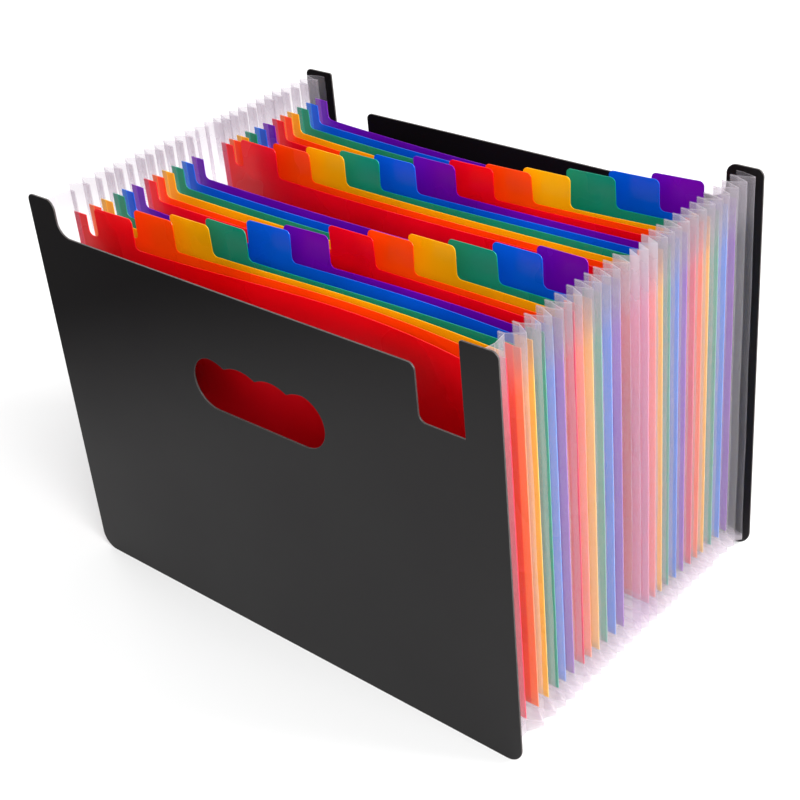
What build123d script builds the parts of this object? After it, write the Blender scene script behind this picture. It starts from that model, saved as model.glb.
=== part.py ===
from build123d import *
import os
from math import hypot, sqrt

# Accordion file folder, standing open on a desk, in millimetres.
# X runs along the width, Y from the front cover to the rear cover, Z up.
# The origin is on the desk, under the middle of the folder.

# Covers: two equal die-cut polypropylene boards
cover_width = 330.0
cover_height = 242.0
cover_thickness = 1.0
cover_foot_radius = 10.0

# Ears: the two raised top corners of a cover
ear_width = 22.0
ear_height = 21.0
ear_outer_radius = 4.0
ear_inner_radius = 6.0
ear_foot_radius = 9.0

# Slot: the deep notch beside one ear, where a finger lifts the first sheet
slot_width = 28.0
slot_depth = 31.0
slot_mouth_radius = 4.0
slot_floor_radius = 4.5
slot_ear_radius = 1.5

# Handle: the carrying hole, with a finger-shaped upper edge
handle_width = 96.0
handle_height = 31.0
handle_drop = 43.5
handle_offset = 2.5
handle_finger_count = 4
handle_finger_pitch = 23.0
handle_finger_depth = 3.2
handle_cusp_radius = 1.5

# Pockets: mean clear depth between neighbouring sheets as the folder stands open, and each pocket's share.
# A folder opened by hand is uneven, and its two halves part at the middle pocket, which has spare folds.
pocket_gap = 8.5
pocket_gap_shares = [
    2.20, 1.22, 0.98, 1.00, 0.72, 0.84, 1.06, 0.72, 0.84, 0.84, 0.90, 0.90,
    2.86,
    0.72, 0.72, 0.78, 0.90, 0.84, 0.90, 0.78, 0.72, 1.00, 0.95, 0.95, 0.72,
]
middle_pocket = 13
middle_pocket_folds = 3

# Dividers: coloured sheets, welded to the gusset along their sides and foot
divider_thickness = 0.4
divider_side_margin = 12.0
divider_foot_margin = 10.5
divider_drop = 7.0
flap_width = 10.5
flap_height = 12.0
flap_foot_radius = 3.0
tab_width = 31.0
tab_height = 18.0
tab_margin = 8.0
tab_positions = 12
tab_foot_radius = 3.0
tab_top_radius = 3.0

# Gusset: pleated translucent film that closes the sides and foot of each pocket
film_thickness = 0.25
weld_width = 4.0
gusset_drop = 3.0
gusset_foot_margin = 1.5
gusset_slant_share = 0.5
slack_ridge_depth = 1.8

# Places that follow from these sizes
recess_height = cover_height - ear_height
pocket_count = len(pocket_gap_shares)
divider_count = pocket_count - 1
divider_width = cover_width - 2 * divider_side_margin
divider_top = recess_height - divider_drop
gusset_top = cover_height - gusset_drop

pocket_gaps = [pocket_gap * share for share in pocket_gap_shares]
pocket_folds = [1] * pocket_count
pocket_folds[middle_pocket - 1] = middle_pocket_folds
folder_depth = 2 * cover_thickness + divider_count * divider_thickness + sum(pocket_gaps)

# All film panels, from a weld to the next fold, are as long as the widest pleat needs
half_pleats = [(gap - film_thickness) / folds / 2 for gap, folds in zip(pocket_gaps, pocket_folds)]
film_panel = hypot(max(half_pleats), slack_ridge_depth)


def sheet_faces():
    """Front and rear face, along Y, of every sheet from the front cover to the rear cover."""
    faces = []
    front = -folder_depth / 2
    for index in range(pocket_count + 1):
        is_cover = index in (0, pocket_count)
        rear = front + (cover_thickness if is_cover else divider_thickness)
        faces.append((front, rear))
        if index < pocket_count:
            front = rear + pocket_gaps[index]
    return faces


def rounded_face(corners):
    """Face in the XZ plane from (x, z, radius) corners."""
    points = [(x, z) for x, z, radius in corners]
    radii = [radius for x, z, radius in corners]
    return Plane.XZ * make_face(FilletPolyline(*points, radius=radii, close=True))


def handle_hole():
    """Carrying hole: a flat sill, round ends and a row of finger arcs along the top."""
    top = recess_height - handle_drop
    sill = top - handle_height
    cusp = top - handle_finger_depth
    half_row = handle_finger_pitch * (handle_finger_count - 1) / 2
    half_pitch = handle_finger_pitch / 2
    end = handle_width / 2
    end_radius = handle_height / 2
    finger_radius = (half_pitch**2 + handle_finger_depth**2) / (2 * handle_finger_depth)
    shoulder = half_row - half_pitch / 2
    shoulder_height = top - finger_radius + sqrt(finger_radius**2 - (half_pitch / 2) ** 2)
    edges = [Line((-end + end_radius, sill), (end - end_radius, sill))]
    edges += [ThreePointArc((end - end_radius, sill), (end, sill + end_radius), (half_row, top))]
    edges += [ThreePointArc((half_row, top), (shoulder, shoulder_height), (half_row - half_pitch, cusp))]
    for finger in range(handle_finger_count - 2):
        middle = half_row - (finger + 1) * handle_finger_pitch
        edges += [ThreePointArc((middle + half_pitch, cusp), (middle, top), (middle - half_pitch, cusp))]
    edges += [ThreePointArc((half_pitch - half_row, cusp), (-shoulder, shoulder_height), (-half_row, top))]
    edges += [ThreePointArc((-half_row, top), (-end, sill + end_radius), (-end + end_radius, sill))]
    hole = make_face(edges)
    cusps = [corner for corner in hole.vertices() if abs(corner.Y - cusp) < handle_finger_depth / 2]
    hole = fillet(cusps, handle_cusp_radius)
    return Plane.XZ * Pos(handle_offset) * hole


def cover():
    """Front cover, its outer face towards -Y, with ears, slot and handle hole."""
    half = cover_width / 2
    ear = half - ear_width
    slot = ear - slot_width
    slot_floor = recess_height - slot_depth
    board = rounded_face(
        [
            (-half, 0, cover_foot_radius),
            (half, 0, cover_foot_radius),
            (half, cover_height, ear_outer_radius),
            (ear, cover_height, slot_ear_radius),
            (ear, slot_floor, 0),
            (slot, slot_floor, slot_floor_radius),
            (slot, recess_height, slot_mouth_radius),
            (-ear, recess_height, ear_foot_radius),
            (-ear, cover_height, ear_inner_radius),
            (-half, cover_height, ear_outer_radius),
        ]
    )
    return extrude(board - handle_hole(), cover_thickness, dir=(0, 1, 0))


def divider(position):
    """Sheet with an index tab in one of the positions, and a weld flap at each top corner."""
    half = divider_width / 2
    inner = half - flap_width
    flap_top = divider_top + flap_height
    tab_top = divider_top + tab_height
    first = -inner + tab_margin
    step = (2 * (inner - tab_margin) - tab_width) / (tab_positions - 1)
    tab = first + position * step
    outline = rounded_face(
        [
            (-half, divider_foot_margin, 0),
            (half, divider_foot_margin, 0),
            (half, flap_top, 0),
            (inner, flap_top, 0),
            (inner, divider_top, flap_foot_radius),
            (tab + tab_width, divider_top, tab_foot_radius),
            (tab + tab_width, tab_top, tab_top_radius),
            (tab, tab_top, tab_top_radius),
            (tab, divider_top, tab_foot_radius),
            (-inner, divider_top, flap_foot_radius),
            (-inner, flap_top, 0),
            (-half, flap_top, 0),
        ]
    )
    return extrude(outline, divider_thickness, dir=(0, 1, 0))


def ribbon(line, thickness):
    """Face of even thickness along a bent line of (x, y) points, with mitred corners."""
    points = [Vector(x, y) for x, y in line]
    runs = [(end - start).normalized() for start, end in zip(points, points[1:])]
    normals = [Vector(-run.Y, run.X) for run in runs]
    offsets = [normals[0]]
    for before, after in zip(normals, normals[1:]):
        offsets.append((before + after) / (1 + before.dot(after)))
    offsets.append(normals[-1])
    left = [point + offset * (thickness / 2) for point, offset in zip(points, offsets)]
    right = [point - offset * (thickness / 2) for point, offset in zip(points, offsets)]
    return make_face(Polyline(*left, *reversed(right), close=True))


def gusset_pleat(front, folds, half_pleat):
    """Film of one pocket: V folds down both sides and along the foot, with strips welded to the two sheets."""
    front_weld = front + film_thickness / 2
    rear_weld = front_weld + 2 * folds * half_pleat
    ridge = sqrt(film_panel**2 - half_pleat**2)
    zigzag = [(0, front_weld)]
    for fold in range(folds):
        valley = front_weld + 2 * fold * half_pleat
        zigzag += [(ridge, valley + half_pleat), (0, valley + 2 * half_pleat)]
    section = ribbon([(-weld_width, front_weld), *zigzag, (-weld_width, rear_weld)], film_thickness)

    # The side folds run down past the sheets and close the ends of the foot folds, cut on a slant below
    half = divider_width / 2
    side = extrude(Pos(half, 0, gusset_foot_margin) * section, gusset_top - gusset_foot_margin)
    foot_start = Plane(origin=(-half - ridge, 0, divider_foot_margin), x_dir=(0, 0, -1), z_dir=(1, 0, 0))
    foot = extrude(foot_start * section, 2 * (half + ridge))
    right = [(half + out, depth) for out, depth in zigzag]
    left = [(-x, depth) for x, depth in reversed(right)]
    foot &= extrude(make_face(Polyline(*right, *left, close=True)), divider_foot_margin + weld_width)
    pleat = side + mirror(side, about=Plane.YZ) + foot
    for way in (-1, 1):
        corner = (way * half, 0, gusset_foot_margin)
        slant = Plane(origin=corner, x_dir=(0, 1, 0), z_dir=(-way * gusset_slant_share, 0, 1))
        pleat = split(pleat, bisect_by=slant, keep=Keep.TOP)
    return pleat


def build():
    """Every piece in its place, by node name."""
    faces = sheet_faces()
    pieces = {}
    pieces["front_cover"] = Pos(0, faces[0][0], 0) * cover()
    for index in range(1, pocket_count):
        sheet = divider((index - 1) % tab_positions)
        pieces[f"divider_{index:02d}"] = Pos(0, faces[index][0], 0) * sheet
    pieces["rear_cover"] = Rot(0, 0, 180) * pieces["front_cover"]
    for pocket in range(pocket_count):
        pleat = gusset_pleat(faces[pocket][1], pocket_folds[pocket], half_pleats[pocket])
        pieces[f"gusset_pleat_{pocket + 1:02d}"] = pleat
    return pieces


os.makedirs("parts", exist_ok=True)
for name, piece in build().items():
    export_step(piece, f"parts/{name}.step")
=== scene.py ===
import math
import random

import bmesh
import bpy
from mathutils import Matrix, Vector


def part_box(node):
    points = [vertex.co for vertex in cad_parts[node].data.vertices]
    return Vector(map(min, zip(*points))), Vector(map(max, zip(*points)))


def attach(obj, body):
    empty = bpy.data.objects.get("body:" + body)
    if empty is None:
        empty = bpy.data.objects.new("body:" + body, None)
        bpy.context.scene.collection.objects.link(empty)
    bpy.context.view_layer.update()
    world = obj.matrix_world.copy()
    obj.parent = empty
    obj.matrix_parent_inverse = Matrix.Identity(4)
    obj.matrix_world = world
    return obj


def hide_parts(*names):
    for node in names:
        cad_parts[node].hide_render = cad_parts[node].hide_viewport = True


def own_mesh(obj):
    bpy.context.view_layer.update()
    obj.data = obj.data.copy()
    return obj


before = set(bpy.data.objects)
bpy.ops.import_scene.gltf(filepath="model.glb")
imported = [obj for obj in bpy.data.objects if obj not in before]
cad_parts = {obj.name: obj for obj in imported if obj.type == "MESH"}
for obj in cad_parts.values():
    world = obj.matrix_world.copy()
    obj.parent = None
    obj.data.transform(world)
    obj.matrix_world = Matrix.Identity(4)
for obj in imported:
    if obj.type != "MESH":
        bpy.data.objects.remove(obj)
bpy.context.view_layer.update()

# Cover boards: two equal boards of extruded polypropylene, 1 mm thick, each die-cut in one stroke.
# They stand on their feet, the rear one turned about, with the gusset film welded to their inner
# faces. The faces are embossed satin black, and the cut edges are paler and slightly broken.
mm = 0.001
merge_distance = 0.001 * mm
flat_angle = math.radians(0.5)
rim_angle = math.radians(40)
edge_break = 0.12 * mm
broad_face = 0.999
polypropylene_ior = 1.49


def linear(hex_colour):
    """An sRGB hex colour as linear red, green, blue and alpha."""
    shares = [int(hex_colour[start:start + 2], 16) / 255 for start in (1, 3, 5)]
    return [s / 12.92 if s <= 0.04045 else ((s + 0.055) / 1.055) ** 2.4 for s in shares] + [1.0]


def new_material(name):
    """An empty node material."""
    material = bpy.data.materials.new(name)
    material.use_nodes = True
    material.node_tree.nodes.clear()
    return material


def add_node(material, kind, inputs, **settings):
    """Adds a node with its settings. Each input is given a value, or the socket that feeds it."""
    tree = material.node_tree
    node = tree.nodes.new(kind)
    for name, value in settings.items():
        setattr(node, name, value)
    for socket, value in inputs.items():
        if isinstance(value, bpy.types.NodeSocket):
            tree.links.new(value, node.inputs[socket])
        else:
            node.inputs[socket].default_value = value
    return node


def solid_copy(node):
    """A copy of a node's solid, with its loose triangles merged and its flat faces joined."""
    bm = bmesh.new()
    bm.from_mesh(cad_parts[node].data)
    bmesh.ops.remove_doubles(bm, verts=bm.verts, dist=merge_distance)
    bmesh.ops.dissolve_limit(bm, angle_limit=flat_angle, verts=bm.verts, edges=bm.edges)
    return bm


def break_edges(bm, edges, width):
    """Takes the sharpness off a few edges, and returns the narrow faces along them."""
    return bmesh.ops.bevel(
        bm,
        geom=edges,
        offset=width,
        segments=2,
        profile=0.5,
        affect="EDGES",
        material=-1,
        clamp_overlap=True,
    )["faces"]


def set_piece(bm, name, materials, node, body):
    """Makes the piece that stands for a node, and sets it on its body."""
    mesh = bpy.data.meshes.new(name)
    bm.to_mesh(mesh)
    bm.free()
    for material in materials:
        mesh.materials.append(material)
    piece = bpy.data.objects.new(name, mesh)
    bpy.context.scene.collection.objects.link(piece)
    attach(piece, body)
    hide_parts(node)
    return piece


# Embossed polypropylene: a fine sand grain from the calender roll, about 0.3 mm across and drawn at
# 0.9 mm so that it shows, which spreads the gloss to satin. Handling has hazed it in broad patches,
# about 70 mm across. A sheen is painted on it: the specular level is highest low down and to the
# right and fades on a slant towards the upper left, a painted reflection of the bright table.
sand_grain = 0.9 * mm
grain_depth = 0.05 * mm
haze_patch = 70 * mm
painted_sheen_way = (-0.45, 0, 1)
painted_sheen_fade_start = 120 * mm
painted_sheen_fade_end = 250 * mm
board_black = new_material("polypropylene_board_satin_black")
place = add_node(board_black, "ShaderNodeTexCoord", {}).outputs["Object"]
grain = add_node(
    board_black, "ShaderNodeTexNoise", {"Vector": place, "Scale": 1 / sand_grain, "Detail": 2.0}
)
haze = add_node(
    board_black, "ShaderNodeTexNoise", {"Vector": place, "Scale": 1 / haze_patch, "Detail": 3.0}
)
tone = add_node(board_black, "ShaderNodeValToRGB", {"Fac": haze.outputs["Fac"]})
tone.color_ramp.elements[0].color = linear("#090808")
tone.color_ramp.elements[1].color = linear("#0e0b0d")
satin = add_node(
    board_black,
    "ShaderNodeMapRange",
    {"Value": haze.outputs["Fac"], "To Min": 0.40, "To Max": 0.52},
)
relief = add_node(
    board_black,
    "ShaderNodeBump",
    {"Height": grain.outputs["Fac"], "Strength": 0.25, "Distance": grain_depth},
)
# Painted reflection: the specular level falls along a slant towards the upper left
height = add_node(
    board_black, "ShaderNodeVectorMath", {0: place, 1: painted_sheen_way}, operation="DOT_PRODUCT"
)
painted_sheen = add_node(
    board_black,
    "ShaderNodeMapRange",
    {
        "Value": height.outputs["Value"],
        "From Min": painted_sheen_fade_start,
        "From Max": painted_sheen_fade_end,
        "To Min": 0.19,
        "To Max": 0.02,
    },
    interpolation_type="SMOOTHSTEP",
)
plastic = add_node(
    board_black,
    "ShaderNodeBsdfPrincipled",
    {
        "Base Color": tone.outputs["Color"],
        "Roughness": satin.outputs["Result"],
        "Specular IOR Level": painted_sheen.outputs["Result"],
        "Normal": relief.outputs["Normal"],
    },
)
add_node(board_black, "ShaderNodeOutputMaterial", {"Surface": plastic.outputs["BSDF"]})

# Die-cut polypropylene edge: torn and stress-whitened in streaks about 2 mm long, so grey and dull.
tear_streak = 2.0 * mm
cut_edge = new_material("polypropylene_board_cut_edge")
place = add_node(cut_edge, "ShaderNodeTexCoord", {}).outputs["Object"]
tear = add_node(
    cut_edge, "ShaderNodeTexNoise", {"Vector": place, "Scale": 1 / tear_streak, "Detail": 3.0}
)
tone = add_node(cut_edge, "ShaderNodeValToRGB", {"Fac": tear.outputs["Fac"]})
tone.color_ramp.elements[0].position = 0.3
tone.color_ramp.elements[0].color = linear("#221e1e")
tone.color_ramp.elements[1].position = 0.75
tone.color_ramp.elements[1].color = linear("#3e3836")
plastic = add_node(
    cut_edge,
    "ShaderNodeBsdfPrincipled",
    {"Base Color": tone.outputs["Color"], "Roughness": 0.55, "IOR": polypropylene_ior},
)
add_node(cut_edge, "ShaderNodeOutputMaterial", {"Surface": plastic.outputs["BSDF"]})

for node in ("front_cover", "rear_cover"):
    bm = solid_copy(node)
    rim = [edge for edge in bm.edges if abs(edge.calc_face_angle(0)) > rim_angle]
    rim = [edge for edge in rim if abs(edge.verts[0].co.y - edge.verts[1].co.y) < merge_distance]
    break_edges(bm, rim, edge_break)
    for face in bm.faces:
        face.material_index = 0 if abs(face.normal.y) > broad_face else 1
    set_piece(bm, node + "_board", [board_black, cut_edge], node, node)

# Dividers: 24 sheets of coloured polypropylene, 0.4 mm thick, die-cut with one tab and two weld flaps.
# The film is welded along their sides and foot, so the free upper edge bows and the tabs curl a bit.
# The farther back, the more they sag forwards.
divider_count = 24
tab_height = 18 * mm
weld_width = 4 * mm
mesh_step = 11 * mm
front_bows = [8.5 * mm, 5.0 * mm, 1.4 * mm, -3.0 * mm, 1.0 * mm, -0.8 * mm]
front_leans = [-4.0 * mm, -3.0 * mm, -2.5 * mm, -2.0 * mm, -2.5 * mm, -2.5 * mm]
sag_limit = 9 * mm
bow_limit = 1.8 * mm
lean_limit = 1.1 * mm
curl_limit = 1.3 * mm
bend_power = 1.5
sheet_face = 0.5
draw = random.Random(25)

# Calendered polypropylene sheet: glossy, with a faint orange peel about 6 mm across that breaks up
# reflections, and coloured all through, so that some light comes through the sheet. A lighter strip is
# painted down each side, where the sheet is seen through the gusset film, as painted light in place of
# the light that reaches it in the pockets. Each colour has a deep and a light tone and a painted light
# tone for the strip, and the colours repeat in this order from front to back.
peel = 6 * mm
peel_depth = 0.15 * mm
sheet_light_through = 0.45
painted_light_fade = 1 * mm
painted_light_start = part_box("divider_01")[1].x - weld_width - painted_light_fade
# The third tone of each colour is painted light for the strips down the sides
sheet_colours = {
    "red": ("#e4000c", "#f0061c", "#f04468"),
    "orange": ("#ec4a00", "#f65c04", "#fc9028"),
    "yellow": ("#e8b000", "#f4c204", "#fcd63c"),
    "green": ("#00967a", "#02a488", "#12baa4"),
    "blue": ("#005ed2", "#0670e6", "#2496f2"),
    "purple": ("#7600ac", "#8606be", "#a842d0"),
}
sheet_plastics = {}
for colour, (deep, light, painted_light_tone) in sheet_colours.items():
    sheet = new_material("polypropylene_sheet_" + colour)
    place = add_node(sheet, "ShaderNodeTexCoord", {}).outputs["Object"]
    waves = add_node(
        sheet, "ShaderNodeTexNoise", {"Vector": place, "Scale": 1 / peel, "Detail": 1.0}
    )
    cloud = add_node(
        sheet, "ShaderNodeTexNoise", {"Vector": place, "Scale": 1 / haze_patch, "Detail": 3.0}
    )
    tone = add_node(sheet, "ShaderNodeValToRGB", {"Fac": cloud.outputs["Fac"]})
    tone.color_ramp.elements[0].position = 0.3
    tone.color_ramp.elements[0].color = linear(deep)
    tone.color_ramp.elements[1].position = 0.7
    tone.color_ramp.elements[1].color = linear(light)
    across = add_node(sheet, "ShaderNodeSeparateXYZ", {"Vector": place}).outputs["X"]
    across = add_node(sheet, "ShaderNodeMath", {0: across}, operation="ABSOLUTE").outputs["Value"]
    # Painted light: the strip down each side takes the lighter tone
    painted_light_strip = add_node(
        sheet,
        "ShaderNodeMapRange",
        {"Value": across, "From Min": painted_light_start, "From Max": painted_light_start + painted_light_fade},
    )
    # The colour sockets of a Mix node go by number, because their names are shared
    paint = add_node(
        sheet,
        "ShaderNodeMix",
        {0: painted_light_strip.outputs["Result"], 6: tone.outputs["Color"], 7: linear(painted_light_tone)},
        data_type="RGBA",
    ).outputs[2]
    gloss = add_node(
        sheet,
        "ShaderNodeMapRange",
        {"Value": cloud.outputs["Fac"], "To Min": 0.22, "To Max": 0.34},
    )
    relief = add_node(
        sheet,
        "ShaderNodeBump",
        {"Height": waves.outputs["Fac"], "Strength": 0.3, "Distance": peel_depth},
    )
    plastic = add_node(
        sheet,
        "ShaderNodeBsdfPrincipled",
        {
            "Base Color": paint,
            "Roughness": gloss.outputs["Result"],
            "IOR": polypropylene_ior,
            "Normal": relief.outputs["Normal"],
        },
    )
    through = add_node(sheet, "ShaderNodeBsdfTranslucent", {"Color": paint})
    both = add_node(
        sheet,
        "ShaderNodeMixShader",
        {0: sheet_light_through, 1: plastic.outputs["BSDF"], 2: through.outputs["BSDF"]},
    )
    add_node(sheet, "ShaderNodeOutputMaterial", {"Surface": both.outputs["Shader"]})
    sheet_plastics[colour] = sheet


def cut_across(bm, axis, low, high, step):
    """Cuts the mesh by even planes across one axis, so that it can bend."""
    normal = Vector((0, 0, 0))
    normal[axis] = 1
    for index in range(1, math.ceil((high - low) / step)):
        point = normal * (low + index * step)
        everything = bm.verts[:] + bm.edges[:] + bm.faces[:]
        bmesh.ops.bisect_plane(
            bm, geom=everything, dist=merge_distance, plane_co=point, plane_no=normal
        )


for number in range(1, divider_count + 1):
    node = f"divider_{number:02d}"
    colour = list(sheet_colours)[(number - 1) % len(sheet_colours)]
    low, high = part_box(node)
    back_share = max(0, number - len(front_bows)) / (divider_count - len(front_bows))
    bow = draw.uniform(-bow_limit, bow_limit) - sag_limit * back_share**bend_power
    lean = draw.uniform(-lean_limit, lean_limit)
    if number <= len(front_bows):
        bow = front_bows[number - 1]
        lean = front_leans[number - 1]
    curl = draw.uniform(-curl_limit, curl_limit)
    bm = solid_copy(node)
    free_edge = high.z - tab_height
    free_height = free_edge - low.z - weld_width
    free_width = high.x - low.x - 2 * weld_width
    free_step = free_width / round(free_width / mesh_step)
    cut_across(bm, 0, low.x + weld_width - free_step, high.x, free_step)
    cut_across(bm, 2, low.z, high.z, mesh_step)
    for vert in bm.verts:
        across = (vert.co.x - low.x - weld_width) / free_width
        across = min(1, max(0, across))
        height = min(1, max(0, vert.co.z - low.z - weld_width) / free_height)
        above = max(0, (vert.co.z - free_edge) / tab_height)
        swell = bow * math.sin(math.pi * across) + lean * math.sin(2 * math.pi * across)
        vert.co.y += swell * height**bend_power
        vert.co.y += curl * above**bend_power * math.sin(math.pi * across)
    for face in bm.faces:
        face.smooth = abs(face.normal.y) > sheet_face
    plastics = [sheet_plastics[colour]]
    sheet = set_piece(bm, f"divider_sheet_{number:02d}", plastics, node, node)
    middle = (low + high) / 2
    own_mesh(sheet)

# Gusset: a band of milky polypropylene film, 0.25 mm thick, pleated outwards between neighbouring
# sheets and welded to them along both sides and the foot. The folds are pressed in hot, which whitens
# them. So thin a film is drawn as a single surface.
pleat_count = divider_count + 1
middle_pleat = 13
middle_folds = 3
film_thickness = 0.25 * mm
slant = 0.5
cut_band = 0.5 * mm
fold_band = 0.25 * mm
fold_angle = math.radians(15)
crest_share = 0.98
sway_limit = 0.25 * mm
sway_length = 85 * mm
ripple_share = 0.5
ripple_half_turns = 5.1
divider_low, divider_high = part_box("divider_01")
side = divider_high.x
foot = divider_low.z

# Frosted polypropylene film: clear enough to see the sheets' colours straight through, and milky at a
# glancing angle, where light goes a longer way in it. Its free ends, above and below the sheets, carry
# painted light and shade: a pale, milky band at the foot is painted light against the table's shade,
# and the grey rim at the top is painted shade. The spare folds of the middle pocket, which lie close,
# are milkier still, with a greyer lilac tint that is painted shade.
# Faint streaks about 6 mm wide and 150 mm long run down it, the way it was drawn off the roll.
streak_width = 6 * mm
streak_length = 150 * mm
film_light_through = 0.5
painted_foot_band = 3 * mm
painted_top_shade_start = 26 * mm
painted_top_shade_end = 2 * mm
film_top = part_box("gusset_pleat_01")[1].z
film_shares = {
    "polypropylene_film_milky": (0.055, 0.145, "#fbf8fb"),
    "polypropylene_film_fold": (0.16, 0.34, "#fbf8fb"),
    # The spare folds' greyer lilac tint is painted shade
    "polypropylene_film_spare": (0.14, 0.32, "#dccce0"),
}
plain_slot, fold_slot, spare_slot = range(len(film_shares))
films = []
for name, (facing_share, glancing_share, milky) in film_shares.items():
    film = new_material(name)
    place = add_node(film, "ShaderNodeTexCoord", {}).outputs["Object"]
    drawn = add_node(
        film,
        "ShaderNodeMapping",
        {"Vector": place, "Scale": (1, 1, streak_width / streak_length)},
    )
    cloud = add_node(
        film,
        "ShaderNodeTexNoise",
        {"Vector": drawn.outputs["Vector"], "Scale": 1 / streak_width, "Detail": 2.0},
    )
    slope = add_node(film, "ShaderNodeLayerWeight", {"Blend": 0.5})
    milk = add_node(
        film,
        "ShaderNodeMapRange",
        {
            "Value": slope.outputs["Facing"],
            "From Min": 0.2,
            "From Max": 0.75,
            "To Min": facing_share,
            "To Max": glancing_share,
        },
    )
    streaks = add_node(
        film,
        "ShaderNodeMapRange",
        {"Value": cloud.outputs["Fac"], "To Min": 0.8, "To Max": 1.2},
    )
    height = add_node(film, "ShaderNodeSeparateXYZ", {"Vector": place}).outputs["Z"]
    height = add_node(film, "ShaderNodeMapRange", {"Value": height, "From Max": film_top})
    tint = add_node(film, "ShaderNodeValToRGB", {"Fac": height.outputs["Result"]})
    shade = add_node(film, "ShaderNodeValToRGB", {"Fac": height.outputs["Result"]})

    # From foot to top: a height, the milky tint, the share of milk added there, which the ramp
    # carries as its alpha, and the shade of what is seen through. The pale, milky foot is painted
    # light and the grey top rim is painted shade. A new ramp has two stops already.
    levels = [
        (foot - painted_foot_band, "#ebe5ea", 0.4, "#efebef"),
        (foot, milky, 0.0, "#fefdfe"),
        (divider_high.z - painted_top_shade_start, milky, 0.0, "#fefdfe"),
        (divider_high.z + painted_top_shade_end, "#ded8df", 0.14, "#e2dee2"),
    ]
    for level, (z, milky_colour, added_share, clear_colour) in enumerate(levels):
        for ramp, colour in ((tint.color_ramp, milky_colour), (shade.color_ramp, clear_colour)):
            stop = ramp.elements[level] if level < 2 else ramp.elements.new(1)
            stop.position = z / film_top
            stop.color = linear(colour)[:3] + [added_share]
    milk = add_node(
        film,
        "ShaderNodeMath",
        {0: milk.outputs["Result"], 1: tint.outputs["Alpha"]},
        operation="ADD",
    )
    milk = add_node(
        film,
        "ShaderNodeMath",
        {0: milk.outputs["Value"], 1: streaks.outputs["Result"]},
        operation="MULTIPLY",
    )
    clear = add_node(film, "ShaderNodeBsdfTransparent", {"Color": shade.outputs["Color"]})
    plastic = add_node(
        film,
        "ShaderNodeBsdfPrincipled",
        {"Base Color": tint.outputs["Color"], "Roughness": 0.35, "IOR": polypropylene_ior},
    )
    through = add_node(film, "ShaderNodeBsdfTranslucent", {"Color": tint.outputs["Color"]})
    both = add_node(
        film,
        "ShaderNodeMixShader",
        {0: film_light_through, 1: plastic.outputs["BSDF"], 2: through.outputs["BSDF"]},
    )
    veil = add_node(
        film,
        "ShaderNodeMixShader",
        {0: milk.outputs["Value"], 1: clear.outputs["BSDF"], 2: both.outputs["Shader"]},
    )
    add_node(film, "ShaderNodeOutputMaterial", {"Surface": veil.outputs["Shader"]})
    films.append(film)


def pull(bm, edges, move):
    """Extrudes a row of edges along a straight run, and returns the row at its far end."""
    made = bmesh.ops.extrude_edge_only(bm, edges=edges)["geom"]
    verts = [item for item in made if isinstance(item, bmesh.types.BMVert)]
    bmesh.ops.translate(bm, verts=verts, vec=move)
    rows = [item for item in made if isinstance(item, bmesh.types.BMEdge)]
    return [edge for edge in rows if set(edge.verts) <= set(verts)]


def row_of(bm, points):
    """A row of edges through a few points."""
    verts = [bm.verts.new(point) for point in points]
    return [bm.edges.new(pair) for pair in zip(verts, verts[1:])]


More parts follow.
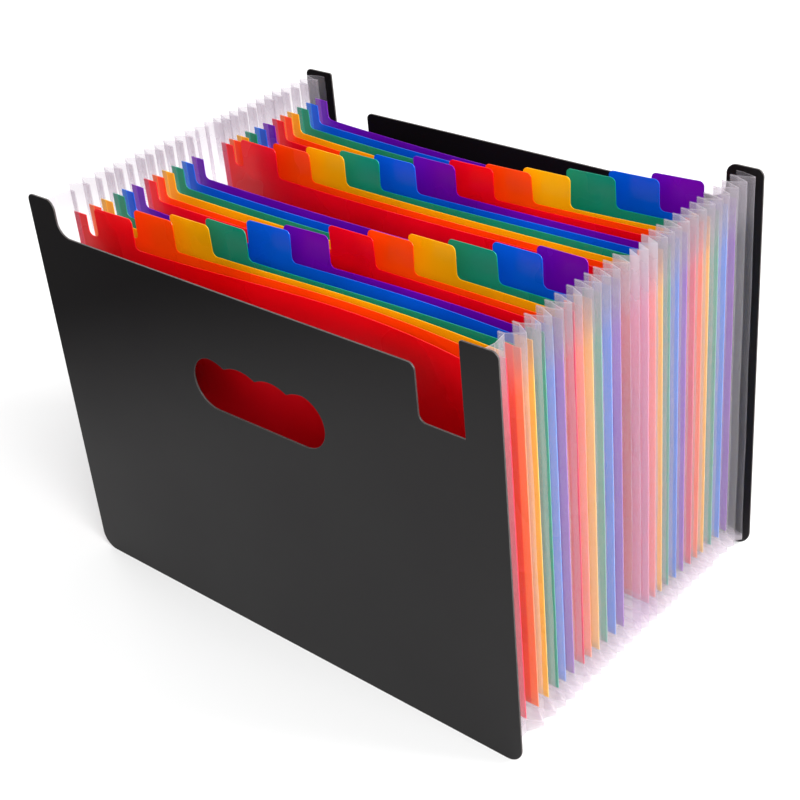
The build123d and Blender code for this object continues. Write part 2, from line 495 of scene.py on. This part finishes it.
for number in range(1, pleat_count + 1):
    node = f"gusset_pleat_{number:02d}"
    body = f"divider_{number:02d}" if number <= divider_count else "rear_cover"
    low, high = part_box(node)
    ridge = high.x - side - film_thickness
    fold_count = middle_folds if number == middle_pleat else 1
    panel_slot = spare_slot if number == middle_pleat else plain_slot
    front = low.y + film_thickness / 2
    half_pleat = (high.y - low.y - film_thickness) / fold_count / 2
    profile = [(-weld_width, front), (0, front)]
    for fold in range(fold_count):
        valley = front + 2 * fold * half_pleat
        profile += [(ridge, valley + half_pleat), (0, valley + 2 * half_pleat)]
    profile += [(-weld_width, high.y - film_thickness / 2)]

    # Both sides hang from the top row, and the foot runs from one side's fold to the other's
    bm = bmesh.new()
    for way in (-1, 1):
        row = row_of(bm, [(way * (side + out), y, high.z) for out, y in profile])
        row = pull(bm, row, (0, 0, -cut_band))
        pull(bm, row, (0, 0, low.z - high.z + cut_band))
    row = row_of(bm, [(-side - max(0, out), y, foot - out) for out, y in profile])
    row = pull(bm, row, (0, 0, 0))
    for vert in {vert for edge in row for vert in edge.verts}:
        vert.co.x = -vert.co.x
    for face in bm.faces:
        middle = face.calc_center_median()
        face.material_index = fold_slot if middle.z > high.z - cut_band else panel_slot

    # The crests are pressed narrow and white, and the lower ends are cut on a slant
    crests = []
    for edge in bm.edges:
        reach = min(max(abs(vert.co.x) - side, foot - vert.co.z) for vert in edge.verts)
        is_level = abs(edge.verts[0].co.y - edge.verts[1].co.y) < merge_distance
        if reach > crest_share * ridge and is_level:
            crests.append(edge)
    for face in break_edges(bm, crests, fold_band):
        face.material_index = fold_slot
    for way in (-1, 1):
        bmesh.ops.bisect_plane(
            bm,
            geom=bm.verts[:] + bm.edges[:] + bm.faces[:],
            dist=merge_distance,
            plane_co=(way * side, 0, low.z),
            plane_no=(way * slant, 0, -1),
            clear_outer=True,
        )

    # The folds sway a little from front to back, as pressed film does
    cut_across(bm, 0, low.x, high.x, mesh_step)
    cut_across(bm, 2, low.z, high.z, mesh_step)
    turns = [draw.uniform(0, 2 * math.pi) for turn in range(3)]
    for vert in bm.verts:
        down = math.pi * vert.co.z / sway_length
        swing = math.sin(2 * down + turns[0 if vert.co.x > 0 else 1])
        swing += ripple_share * math.sin(ripple_half_turns * down + turns[2])
        vert.co.y += sway_limit * swing * max(0, abs(vert.co.x) - side) / ridge
    bmesh.ops.recalc_face_normals(bm, faces=bm.faces)
    for face in bm.faces:
        face.smooth = True
    for edge in bm.edges:
        edge.smooth = abs(edge.calc_face_angle(0)) < fold_angle
    film = set_piece(bm, f"gusset_film_{number:02d}", films, node, body)
    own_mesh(film)

# Studio: a plain white table that runs out of the picture, in a white room, lit softly from above,
# from both sides and from behind. The table shows as white to the camera and in reflections, the more
# the farther off, and still takes the folder's shadow. Its sizes are in metres.
table_size = 8.0
lift_start = 0.3
lift_end = 1.6
room_light = 0.75


def seen_share(owner):
    """1 for a ray from the camera, straight, in a reflection or through a clear piece, else 0."""
    path = add_node(owner, "ShaderNodeLightPath", {})
    seen = add_node(
        owner,
        "ShaderNodeMath",
        {0: path.outputs["Is Camera Ray"], 1: path.outputs["Is Glossy Ray"]},
        operation="MAXIMUM",
    )
    seen = add_node(
        owner,
        "ShaderNodeMath",
        {0: seen.outputs["Value"], 1: path.outputs["Is Transmission Ray"]},
        operation="MAXIMUM",
    )
    return seen.outputs["Value"]


table_white = new_material("studio_table_white")
place = add_node(table_white, "ShaderNodeTexCoord", {}).outputs["Object"]
away = add_node(table_white, "ShaderNodeVectorMath", {0: place}, operation="LENGTH")
white = add_node(
    table_white,
    "ShaderNodeMapRange",
    {
        "Value": away.outputs["Value"],
        "From Min": lift_start,
        "From Max": lift_end,
        "To Min": 0.26,
        "To Max": 0.66,
    },
)
lift = add_node(
    table_white,
    "ShaderNodeMath",
    {0: seen_share(table_white), 1: white.outputs["Result"]},
    operation="MULTIPLY",
)
paint = add_node(table_white, "ShaderNodeBsdfDiffuse", {"Color": linear("#b4b4b4")})
glow = add_node(
    table_white,
    "ShaderNodeEmission",
    {"Color": linear("#ffffff"), "Strength": lift.outputs["Value"]},
)
both = add_node(
    table_white, "ShaderNodeAddShader", {0: paint.outputs["BSDF"], 1: glow.outputs["Emission"]}
)
add_node(table_white, "ShaderNodeOutputMaterial", {"Surface": both.outputs["Shader"]})
bm = bmesh.new()
bmesh.ops.create_grid(bm, x_segments=1, y_segments=1, size=table_size / 2)
mesh = bpy.data.meshes.new("studio_table")
bm.to_mesh(mesh)
bm.free()
mesh.materials.append(table_white)
table = bpy.data.objects.new("studio_table", mesh)
bpy.context.scene.collection.objects.link(table)

world = bpy.data.worlds.new("studio_white")
bpy.context.scene.world = world
world.use_nodes = True
world.node_tree.nodes.clear()
strength = add_node(
    world,
    "ShaderNodeMapRange",
    {"Value": seen_share(world), "To Min": room_light, "To Max": 1.0},
)
room = add_node(
    world,
    "ShaderNodeBackground",
    {"Color": linear("#ffffff"), "Strength": strength.outputs["Result"]},
)
add_node(world, "ShaderNodeOutputWorld", {"Surface": room.outputs["Background"]})

# Soft boxes: where each one stands and how wide it is, in metres, and its power in watts
soft_boxes = {
    "soft_box_above": ((0.1, -0.2, 1.8), 1.4, 3),
    "soft_box_right": ((1.19, -0.74, 1.92), 1.0, 45),
    "soft_box_left": ((-1.3, -1.5, 1.2), 1.0, 3),
    "soft_box_side": ((1.5, -0.3, 0.8), 0.8, 14),
    "soft_box_back": ((1.3, 0.8, 1.0), 0.8, 40),
    "soft_box_far": ((-1.6, 0.4, 1.0), 0.8, 12),
}
aim = Vector((0, 0, 0.12))
for name, (spot, width, watts) in soft_boxes.items():
    lamp = bpy.data.lights.new(name, "AREA")
    lamp.size = width
    lamp.energy = watts
    stand = bpy.data.objects.new(name, lamp)
    stand.location = spot
    stand.rotation_euler = (aim - Vector(spot)).to_track_quat("-Z", "Y").to_euler()
    bpy.context.scene.collection.objects.link(stand)

# Camera: at the photograph's viewing angle, from the front right and above, slightly rolled.
azimuth = math.radians(43.87)
elevation = math.radians(31.28)
roll = math.radians(-5.64)
distance = 901.6 * mm
target = Vector((-3.57, 0, 103.53)) * mm
back = Vector(
    (
        math.sin(azimuth) * math.cos(elevation),
        -math.cos(azimuth) * math.cos(elevation),
        math.sin(elevation),
    )
)
lens = bpy.data.cameras.new("photo_camera")
lens.sensor_width = 36
lens.lens = 69.6
camera = bpy.data.objects.new("photo_camera", lens)
camera.matrix_world = (
    Matrix.Translation(target + back * distance)
    @ (-back).to_track_quat("-Z", "Y").to_matrix().to_4x4()
    @ Matrix.Rotation(roll, 4, "Z")
)
bpy.context.scene.collection.objects.link(camera)
bpy.context.scene.camera = camera
bpy.context.scene.view_settings.view_transform = "Standard"
